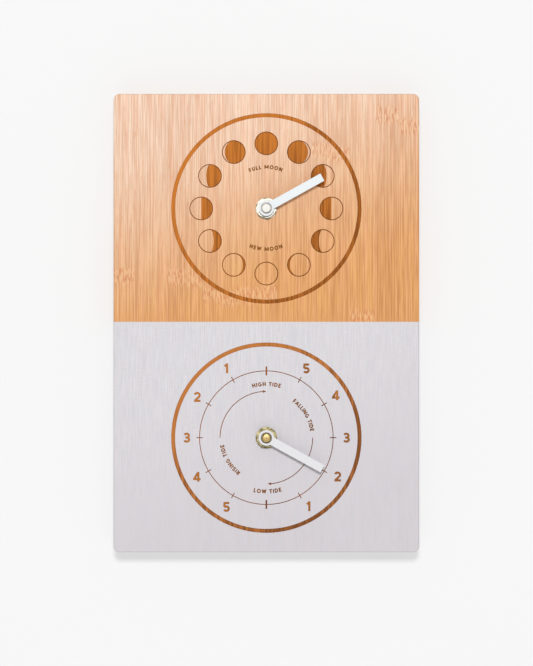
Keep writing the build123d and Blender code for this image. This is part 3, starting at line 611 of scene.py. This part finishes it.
def set_words(words, cap, radius, middle, width, inward, dial, weight):
    """Adds words, spread to a width along an arc of a dial."""
    wides = [alphabet[sign][0] * cap if sign != " " else 0.28 * cap for sign in words]
    gap = (width - sum(wides)) / (len(words) - 1)
    run = -width / 2
    for sign, wide in zip(words, wides):
        turn = math.radians(middle) + (run + wide / 2) / radius * (-1 if inward else 1)
        run += wide + gap
        outward = Vector((math.sin(turn), 0, math.cos(turn)))
        if sign != " ":
            up = -outward if inward else outward
            set_letter(sign, cap, dial + outward * radius, up, word_finish, weight)


stroke_layers = [bmesh.new() for _ in range(4)]  # strokes that cross lie in different layers
layer_step = 0.01 * mm
word_finish, numeral_finish = 0, 1
for words, cap, radius, middle, width, inward, dial in (  # sizes in mm, the middle as an angle
    ("FULL MOON", 2.5, 27.2, -1.0, 22.2, False, moon_dial),
    ("NEW MOON", 2.5, 26.6, 180.5, 21.6, True, moon_dial),
    ("HIGH TIDE", 2.65, 35.1, 0.2, 18.8, False, tide_dial),
    ("LOW TIDE", 2.65, 35.2, 178.7, 18.0, True, tide_dial),
    ("FALLING TIDE", 2.65, 30.3, 58.9, 24.0, False, tide_dial),
    ("RISING TIDE", 2.65, 29.4, 238.8, 22.2, False, tide_dial),
):
    weight = 0.285 if dial is moon_dial else 0.265
    set_words(words, cap * mm, radius * mm, middle, width * mm, inward, dial, weight)
numerals = (  # the sign, its angle, and its radius in mm
    ("5", 30, 52.3), ("4", 58.6, 53.2), ("3", 90, 52.4), ("2", 118.6, 53.1), ("1", 148.4, 52.7),
    ("5", 210, 52.3), ("4", 240.6, 52.2), ("3", 270, 52.1), ("2", 300.5, 52.5), ("1", 330, 52.4),
)
numeral_cap, numeral_weight, upwards = 6.4 * mm, 0.225, Vector((0, 0, 1))
for sign, angle, radius in numerals:
    spot = turned_spot(tide_dial, radius * mm, angle)
    set_letter(sign, numeral_cap, spot, upwards, numeral_finish, numeral_weight)
for layer in stroke_layers:
    cut(board, cutter("lettering", layer, burnt_words, burnt_numerals))
smoothed(board)
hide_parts("board")
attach(board, "clock")


# The hanger
# A pressed keyhole plate of zinc-plated steel, let into the back of the board and held by two
# countersunk screws with a cross in the head.
def metal(name, pale, dark, gloss, stretch):
    """Bare or plated metal, with faint streaks along the way that it was worked."""
    finish = Finish(name)
    streaks = finish.mottle(stretch, 3.0)
    clouds = finish.mottle((110, 110, 110), 2.0, (4, 4, 4))
    colour = finish.mixed(finish.rise(streaks * 0.6 + clouds * 0.4, 0.3, 0.7), pale, dark)
    return finish.coat(colour, clouds * 0.24 + (gloss - 0.12), streaks, 0.01 * mm, {"Metallic": 1.0})


zinc = metal("zinc_plate", tint(184, 186, 190), tint(146, 149, 156), 0.5, (260, 900, 2600))
screw_zinc = metal("screw_zinc", tint(180, 181, 184), tint(136, 139, 146), 0.42, (2400, 2400, 2400))


def put_in_place(piece, node, body, finish=None):
    """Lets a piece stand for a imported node, on that node's body and with its slot."""
    if finish is not None:
        piece.data.materials.clear()
        piece.data.materials.append(finish)
    smoothed(piece)
    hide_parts(node)
    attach(piece, body)


def plus_shape(half, line):
    """The outline of a plus sign, by half its reach and half its line's width."""
    return [(half, line), (line, line), (line, half), (-line, half), (-line, line), (-half, line),
            (-half, -line), (-line, -line), (-line, -half), (line, -half), (line, -line), (half, -line)]


def minus_shape(half, line):
    """The outline of a minus sign, by half its reach and half its line's width."""
    return [(half, -line), (half, line), (-half, line), (-half, -line)]


put_in_place(eased(worked_copy("hanger_plate", "keyhole_plate"), 0.25 * mm),
             "hanger_plate", "clock", zinc)
screws = worked_copy("hanger_screws", "plate_screws")
screw_side, screw_height, cross_depth = 24 * mm, 128 * mm, -1.0 * mm
for side in (-screw_side, screw_side):
    recess = bmesh.new()
    stamp(recess, plus_shape(1.6 * mm, 0.42 * mm), Vector((side, 0, screw_height)), cross_depth, 0, overrun)
    cut(screws, cutter("cross", recess, screw_zinc))
put_in_place(eased(screws, 0.06 * mm), "hanger_screws", "clock", screw_zinc)


# The cases and their gaskets
# Each movement's front case is moulded from black plastic with the fine grain of a spark-cut
# mould. A soft rubber pad lies between it and the floor of the pocket.
def moulded(name, pale, dark, gloss, grain=2600, depth=0.02 * mm):
    """Moulded plastic: a faint cloud in an even colour, and a fine grain all over."""
    finish = Finish(name)
    cloud = finish.mottle((90, 90, 90), 3.0)
    pits = finish.mottle((grain, grain, grain), 2.0, (3, 1, 4))
    colour = finish.mixed(finish.rise(cloud * 0.6 + pits * 0.4, 0.3, 0.7), pale, dark)
    return finish.coat(colour, pits * 0.24 + (gloss - 0.12), pits, depth)


def dressed(finish, *nodes):
    """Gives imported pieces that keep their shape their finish, on both movements."""
    for node in nodes:
        for dial_name in ("moon_", "tide_"):
            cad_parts[dial_name + node].material_slots[0].material = finish


case_black = moulded("case_black", tint(44, 44, 46), tint(32, 32, 34), 0.5)
dressed(case_black, "front_case")
dressed(moulded("gasket_rubber", tint(34, 34, 34), tint(22, 22, 23), 0.8, 1400, 0.05 * mm), "rubber_gasket")


# The bushes
# The 8 mm threaded bush of each movement, turned from brass, holds the hour tube. It comes
# through the board from the pocket. The moon's brass is painted paler: a painted glare of the
# lamp on its metal.
def round_spot(finish):
    """The distance from the middle of the nearer dial."""
    up = finish.size(finish.axis(2)) - moon_dial.z
    flat = finish.node("ShaderNodeCombineXYZ", None, {0: finish.axis(0), 2: up})
    return finish.node("ShaderNodeVectorMath", {"operation": "LENGTH"}, {0: flat}, 1)


def turned_metal(name, pale, dark, gloss):
    """Metal with the fine rings that the lathe leaves, and a little tarnish."""
    finish = Finish(name)
    rings = finish.node("ShaderNodeTexNoise", {"noise_dimensions": "1D"},
                        {"W": round_spot(finish), "Scale": 5200.0, "Detail": 2.0})
    tarnish = finish.mottle((420, 420, 420), 3.0)
    colour = finish.mixed(finish.rise(tarnish * 0.7 + rings * 0.3, 0.3, 0.7), pale, dark)
    return finish.coat(colour, tarnish * 0.2 + (gloss - 0.1), rings, 0.006 * mm, {"Metallic": 1.0})


brass = turned_metal("turned_brass", tint(190, 178, 138), tint(88, 80, 46), 0.4)
# The moon's bush, washer and nut take this paler copy of the brass: painted glare of the lamp.
painted_glare_brass = turned_metal("brass_with_painted_glare", tint(202, 199, 188), tint(140, 136, 120), 0.46)


def turned_piece(name, profile, middle, steps=64, finish=None):
    """A closed turned piece round a line through a place: radius and distance from the wall in mm.
    A radius may also be a rule that gives it for each turn."""
    work = bmesh.new()
    rings = []
    for reach, station in profile:
        if reach == 0:
            rings.append([work.verts.new((middle.x, -station * mm, middle.z))])
            continue
        ring = []
        for step in range(steps):
            turn = 2 * math.pi * step / steps
            out = (reach(turn, station) if callable(reach) else reach) * mm
            ring.append(work.verts.new((middle.x + out * math.cos(turn), -station * mm,
                                        middle.z + out * math.sin(turn))))
        rings.append(ring)
    pairs = list(zip(rings, rings[1:]))
    if len(rings[0]) > 1:
        pairs.append((rings[-1], rings[0]))
    for ring, other in pairs:
        for step in range(steps):
            after = (step + 1) % steps
            corners = [ring[step % len(ring)], ring[after % len(ring)], other[after % len(other)],
                       other[step % len(other)]]
            work.faces.new(list(dict.fromkeys(corners)))
    return cutter(name, work, *([finish] if finish else []))


pitch, thread_deep, bush_reach, bush_end, lead_in = 0.75, 0.42, 4.0, 24.2, 0.4  # in mm
thread_start, thread_step, thread_rows = 20.8, 0.075, 46


def thread(turn, station):
    """The radius of the bush's thread, with the lead-in at its end."""
    wave = abs(((station / pitch - turn / (2 * math.pi)) % 1) * 2 - 1)
    return min(bush_reach - thread_deep * wave, bush_reach - max(0, station - (bush_end - lead_in)))


# From the flange in the pocket over the neck and the thread to the open end, and back in the bore.
for dial_name, dial, brass_here in (("moon", moon_dial, painted_glare_brass), ("tide", tide_dial, brass)):
    rows = [(5.5, 14.3), (5.5, 14.8), (bush_reach, 14.8), (bush_reach, 20.7)]
    rows += [(thread, thread_start + thread_step * row) for row in range(thread_rows)]
    rows += [(2.75, bush_end), (2.55, 24.05), (2.55, 14.3)]
    put_in_place(turned_piece(dial_name + "_bush", rows, dial),
                 dial_name + "_threaded_bush", "clock", brass_here)

# The train
# The wheels and pinions are moulded from white acetal, waxy and a little see-through in the
# hand, and turn between the case and a grey plate. The centre arbor is turned from brass.
acetal = moulded("white_acetal", tint(232, 230, 222), tint(220, 217, 207), 0.38, 1800, 0.012 * mm)
dressed(acetal, "hour_wheel", "centre_wheel", "reduction_wheel", "third_wheel", "second_wheel",
        "intermediate_wheel")
dressed(moulded("plate_grey", tint(150, 153, 156), tint(134, 137, 141), 0.5), "train_plate")
dressed(turned_metal("arbor_brass", tint(214, 184, 112), tint(170, 138, 72), 0.3), "centre_arbor")

# The motor
# A ferrite magnet with its pinion is stepped round by a soft-iron stator. Its coil is several
# thousand turns of fine lacquered copper wire on a white bobbin, round an iron core.
dressed(metal("soft_iron", tint(176, 176, 174), tint(134, 134, 134), 0.36, (300, 2400, 2400)),
        "coil_core", "stator")
dressed(moulded("ferrite", tint(70, 68, 68), tint(46, 45, 46), 0.42, 3800), "rotor")
dressed(moulded("bobbin_white", tint(228, 226, 216), tint(214, 212, 202), 0.4), "coil_bobbin")
copper = metal("lacquered_copper", tint(206, 120, 70), tint(160, 82, 44), 0.3, (5200, 700, 700))
wire_radius, turn_half, wound_half, turns_wound = 0.17 * mm, 2.53 * mm, 8.8 * mm, 52
wire_steps, wire_sides, corner_cut = 16, 6, 1.66  # one turn is a square with its corners cut off
coil_depth, coil_rise = -4.6 * mm, 22.3 * mm
for dial_name, dial in (("moon", moon_dial), ("tide", tide_dial)):
    middle = Vector((0, coil_depth, dial.z + coil_rise))
    wire = bmesh.new()
    loops = []
    for step in range(wire_steps):
        turn = 2 * math.pi * (step + 0.5) / wire_steps
        across, up = math.cos(turn), math.sin(turn)
        square = turn_half / max(abs(across), abs(up), (abs(across) + abs(up)) / corner_cut)
        centre = Vector((0, across * square, up * square))
        loop = []
        for side in range(wire_sides):
            angle = math.radians(360 / wire_sides * side)
            rim = Vector((math.sin(angle), across * math.cos(angle), up * math.cos(angle)))
            loop.append(wire.verts.new(centre + rim * wire_radius))
        loops.append(loop)
    for loop, beyond in zip(loops, loops[1:] + loops[:1]):
        for side in range(wire_sides):
            after = (side + 1) % wire_sides
            wire.faces.new((loop[side], loop[after], beyond[after], beyond[side]))
    half_run = Vector((wound_half - wire_radius, 0, 0))
    winding = repeated(cutter(dial_name + "_winding", wire, copper), turns_wound, copper,
                       middle - half_run, move=2 * half_run / (turns_wound - 1))
    put_in_place(winding, dial_name + "_coil_winding", "clock", copper)


# The circuit
# A small green board with tinned tracks counts the crystal down. The crystal lies on it in its
# drawn can, and the chip sits under a drop of black resin.
lacquer_green = Finish("green_circuit")
track_noise = lacquer_green.node("ShaderNodeTexVoronoi", {"feature": "F1", "distance": "CHEBYCHEV"},
                                 {"Vector": lacquer_green.place(), "Scale": 620.0})
tracks = 1.0 - lacquer_green.rise(lacquer_green.size(track_noise - 0.34), 0.03, 0.07)
green = lacquer_green.mixed(lacquer_green.mottle((400, 400, 400)), tint(26, 92, 56), tint(18, 74, 44))
lacquer_green.coat(lacquer_green.mixed(tracks * 0.6, green, tint(92, 150, 92)), 0.34 - tracks * 0.08, tracks,
                   0.03 * mm)
dressed(lacquer_green.material, "circuit_board")
dressed(metal("crystal_can", tint(206, 206, 202), tint(172, 172, 170), 0.24, (300, 2600, 2600)),
        "quartz_crystal")
resin = moulded("black_resin", tint(30, 29, 30), tint(18, 18, 19), 0.3, 1200)
drop = [(0, 6.2), (2.5, 6.2), (2.45, 5.98), (2.2, 5.66), (1.75, 5.42), (1.15, 5.27), (0.5, 5.21),
        (0, 5.2)]
for dial_name, dial in (("moon", moon_dial), ("tide", tide_dial)):
    middle = Vector((-20.5 * mm, 0, dial.z + 18.4 * mm))
    put_in_place(turned_piece(dial_name + "_resin_drop", drop, middle, 48),
                 dial_name + "_control_chip", "clock", resin)

# The cells and their contacts
# One dry cell lies across the foot of each case, nub to the right, between a flat contact and a
# folded leaf of nickel-plated spring strip. Its blue sleeve is printed with plain signs.
dressed(metal("nickel_strip", tint(206, 202, 192), tint(170, 166, 156), 0.26, (2600, 420, 2600)),
        "battery_contact_positive", "battery_contact_negative")


cell_depth, soft_edge = -7.45 * mm, 0.05 * mm


def sleeve(name, axis_height):
    """The cell's shrunk sleeve with a sign at each end, and bare steel inside its ends."""
    finish = Finish(name)
    along, deep, rise_up = finish.axis(0), finish.axis(1, cell_depth), finish.axis(2, axis_height)
    section = finish.node("ShaderNodeCombineXYZ", None, {1: deep, 2: rise_up})
    reach = finish.node("ShaderNodeVectorMath", {"operation": "LENGTH"}, {0: section}, 1)
    steel = 1.0 - finish.rise(reach, 5.95 * mm, 6.05 * mm)
    cloud = finish.mottle((300, 300, 300), 2.0)
    colour = finish.mixed(cloud, tint(66, 120, 172), tint(52, 102, 154))
    end_band = finish.rise(along, 15.0 * mm, 15.1 * mm)
    colour = finish.mixed(end_band, colour, tint(44, 46, 52))

    def bar(middle_x, half_x, half_z):
        """One bar of a sign, by its middle along the cell and half its sides."""
        inside_x = finish.rise(finish.size(along - middle_x), half_x - soft_edge, half_x + soft_edge)
        inside_z = finish.rise(finish.size(rise_up), half_z - soft_edge, half_z + soft_edge)
        return (1.0 - inside_x) * (1.0 - inside_z)

    half, line, plus_place, minus_place = 1.9 * mm, 0.45 * mm, 20 * mm, -18.5 * mm
    plus = finish.larger(bar(plus_place, half, line), bar(plus_place, line, half))
    signs = finish.larger(plus, bar(minus_place, line, half)) * finish.rise(finish.facing(1), 0.2, 0.4)
    colour = finish.mixed(signs, colour, tint(228, 228, 226))
    colour = finish.mixed(steel, colour, tint(190, 190, 188))
    return finish.coat(colour, 0.32 + cloud * 0.08, cloud, 0.02 * mm, {"Metallic": steel, "Coat Weight": 0.2})


can = [(0, -24.1), (4.6, -24.1), (4.9, -23.95), (5.6, -23.9), (6.4, -24.0), (6.95, -23.75),
       (7.25, -23.2), (7.25, 24.5), (7.05, 25.05), (6.4, 25.35), (5.9, 25.25), (5.7, 24.95),
       (3.5, 24.95), (3.05, 25.2), (2.75, 25.6), (2.75, 26.15), (2.5, 26.4), (0, 26.4)]
cell_drop, laid_across = 19.45 * mm, Matrix.Rotation(math.pi / 2, 4, "Z")
for dial_name, dial in (("moon", moon_dial), ("tide", tide_dial)):
    cell_axis = dial.z - cell_drop
    cell = turned_piece(dial_name + "_dry_cell", can, Vector((0, 0, 0)))
    cell.data.transform(Matrix.Translation((0, cell_depth, cell_axis)) @ laid_across)
    put_in_place(cell, dial_name + "_battery", dial_name + "_battery",
                 sleeve(dial_name + "_sleeve", cell_axis))

# The back covers and setting knobs
# The lid over each train is moulded like the case. It has a dish for the fluted grey knob that
# sets the hand, two curved arrows round the dish, and the signs for the cell's ends.
knob_grey = moulded("knob_grey", tint(168, 170, 172), tint(150, 152, 155), 0.45)
engraved_black = moulded("engraved_black", tint(74, 74, 78), tint(58, 58, 62), 0.6)
sign_depth, mark_depth = -0.35 * mm, -0.7 * mm
sign_place, sign_drop = 20.5 * mm, -8.0 * mm
sign_size, mark_size = (1.6 * mm, 0.35 * mm), (3.0 * mm, 0.4 * mm)
for dial_name, dial in (("moon", moon_dial), ("tide", tide_dial)):
    knob_spot = dial + Vector((-9.353 * mm, 0, 5.4 * mm))
    cover = worked_copy(dial_name + "_back_cover", dial_name + "_lid")
    cover.data.materials.append(case_black)
    signs = bmesh.new()
    for start in (-50, 130):
        neck, tip = start + 70, start + 84
        shaft_out, shaft_back = arc(7.6 * mm, start, neck, 20), arc(7.0 * mm, neck, start, 20)
        head = [arc(8.4 * mm, neck, 0, 1)[0], arc(7.3 * mm, tip, 0, 1)[0], arc(6.2 * mm, neck, 0, 1)[0]]
        stamp(signs, shaft_out + head + shaft_back, knob_spot, sign_depth, 0, overrun)
    for place, shape in ((sign_place, plus_shape(*sign_size)), (-sign_place, minus_shape(*sign_size))):
        stamp(signs, shape, dial + Vector((place, 0, sign_drop)), sign_depth, 0, overrun)
    cut(cover, cutter("signs", signs, engraved_black))
    put_in_place(eased(cover, 0.12 * mm, 2, 50), dial_name + "_back_cover", "clock")
    knob = eased(worked_copy(dial_name + "_setting_knob", dial_name + "_fluted_knob"), 0.15 * mm, 2, 50)
    knob.data.materials.append(knob_grey)
    slot_mark = bmesh.new()
    stamp(slot_mark, minus_shape(*mark_size), knob_spot, mark_depth, 0, overrun)
    cut(knob, cutter("slot_mark", slot_mark, knob_grey))
    put_in_place(knob, dial_name + "_setting_knob", dial_name + "_setting")

# The washers and nuts
# A flat washer and a 12 mm hexagon nut, with its corners turned off, pull each movement tight
# against the board from the front.
cone = [(0, 20.7), (6.05, 20.7), (7.2, 21.36), (7.2, 22.84), (6.05, 23.5), (0, 23.5)]
for dial_name, dial, brass_here in (("moon", moon_dial, painted_glare_brass), ("tide", tide_dial, brass)):
    washer = eased(worked_copy(dial_name + "_washer", dial_name + "_flat_washer"), 0.15 * mm)
    put_in_place(washer, dial_name + "_washer", "clock", brass_here)
    nut = worked_copy(dial_name + "_mounting_nut", dial_name + "_hexagon_nut")
    nut.data.materials.append(brass_here)
    cut(nut, turned_piece("cone", cone, dial, 96, brass_here), "INTERSECT")
    put_in_place(eased(nut, 0.1 * mm, 2, 20), dial_name + "_mounting_nut", "clock", brass_here)

# The hands
# A white lacquered bar of sheet with a round hub, on a short brass collet that grips the hour
# tube. The collet's dark end shows as a ring in the hub, round the cap that closes the tube.
lacquer = Finish("white_lacquer")
orange_peel = lacquer.mottle((900, 900, 900), 2.0)
clouding = lacquer.mottle((70, 70, 70), 2.0, (9, 9, 9))
# The lacquer is painted a little brighter and bluer towards the top of the board: a painted highlight, the
# lamp's glare on the upper hand.
painted_highlight_share = lacquer.rise(lacquer.axis(2), -90 * mm, 90 * mm)
lit = lacquer.mixed(painted_highlight_share, tint(208, 207, 210), tint(212, 217, 219))
lacquer.coat(lacquer.mixed(lacquer.rise(clouding, 0.3, 0.7) * 0.5, lit, tint(208, 210, 213)),
             0.42 + clouding * 0.12, orange_peel, 0.012 * mm, {"Coat Weight": 0.1, "Coat Roughness": 0.25})
dark_collet = turned_metal("dark_collet", tint(122, 112, 96), tint(74, 66, 54), 0.42)
cap_brass = turned_metal("cap_brass", tint(214, 188, 132), tint(150, 122, 70), 0.34)
# The moon's cap and collet are paler than the tide's brass cap and dark collet: painted glare of the lamp on
# the moon's hub.
cream = Finish("cream_cap_with_painted_glare")
cream_cloud = cream.mottle((300, 300, 300), 2.0)
cream.coat(cream.mixed(cream_cloud, tint(226, 224, 219), tint(218, 215, 207)), 0.4 + cream_cloud * 0.1,
           cream_cloud, 0.01 * mm, {"Coat Weight": 0.2})
collet_with_painted_glare = turned_metal("collet_with_painted_glare", tint(136, 135, 130), tint(96, 94, 88), 0.45)

collet_ring = [(2.45, 25.35), (3.55, 25.35), (3.7, 25.8), (2.45, 25.8)]
cap_reach, crown_start, crown_wide, crown_high = 2.85, 26.5, 1.0, 0.66
turned_cap = [(0, 23.0), (1.5, 23.0), (1.63, 23.15), (1.63, 26.0), (2.7, 26.0), (cap_reach, 26.12),
              (cap_reach, crown_start)]
for angle in (15, 30, 45, 60, 75):
    turn = math.radians(angle)
    turned_cap.append((cap_reach - crown_wide * (1 - math.cos(turn)),
                       crown_start + crown_high * math.sin(turn)))
turned_cap += [(1.2, 27.19), (0.45, 27.2), (0.3, 27.08), (0, 27.0)]
for dial_name, dial, cap_finish, collet in (("moon", moon_dial, cream.material, collet_with_painted_glare),
                                            ("tide", tide_dial, cap_brass, dark_collet)):
    hand = eased(worked_copy(dial_name + "_hand", dial_name + "_white_hand"), 0.1 * mm, 2, 30)
    hand.data.materials.append(lacquer.material)
    cut(hand, turned_piece("recess", collet_ring, dial, 64, collet))
    put_in_place(hand, dial_name + "_hand", dial_name + "_hand")
    put_in_place(turned_piece(dial_name + "_cap", turned_cap, dial),
                 dial_name + "_hub_cap", dial_name + "_hand", cap_finish)
